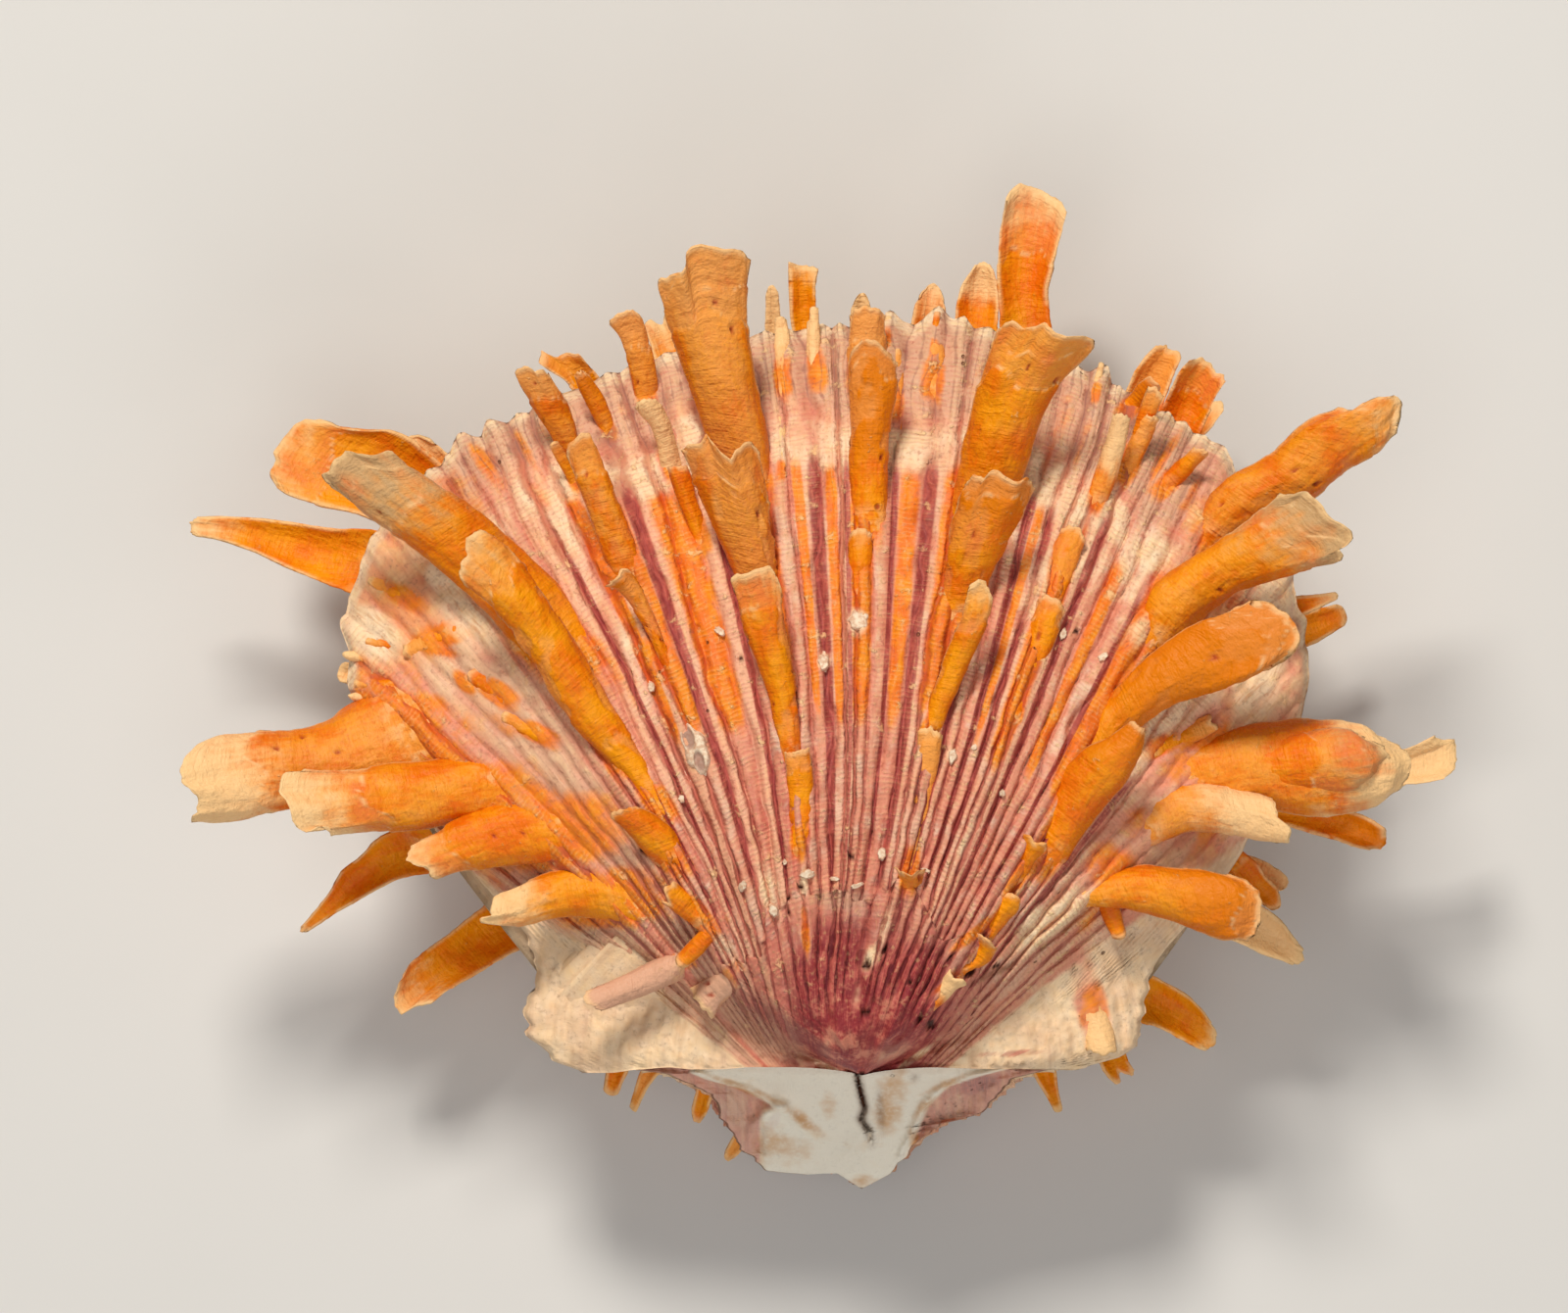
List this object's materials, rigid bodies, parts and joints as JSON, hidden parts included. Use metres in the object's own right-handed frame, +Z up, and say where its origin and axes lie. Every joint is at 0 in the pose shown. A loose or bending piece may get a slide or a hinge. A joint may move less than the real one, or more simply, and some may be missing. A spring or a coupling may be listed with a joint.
{
  "type": "thorny oyster shell",
  "caption": "Closed thorny oyster shell lying on its deeper lower valve, with a ribbed domed upper valve and broad gutter-shaped spines standing out all round.",
  "frame": {"origin": "middle of the bounding box, on the level that the shell rests on", "axes": "+X along the hinge, to the right as seen from above; +Y from the hinge to the far margin; +Z up through the upper valve"},
  "size_m": [0.1306, 0.1043, 0.0483],
  "materials": {
    "upper_valve_shell": "satin natural shell, orange spines over maroon, pink and cream ribs",
    "lower_valve_shell": "satin natural shell, cream and pink with orange spines",
    "ligament": "dry, dull, dark brown"
  },
  "bodies": {
    "root": {"upper_valve": "upper_valve_shell", "lower_valve": "lower_valve_shell", "ligament": "ligament"}
  },
  "joints": []
}
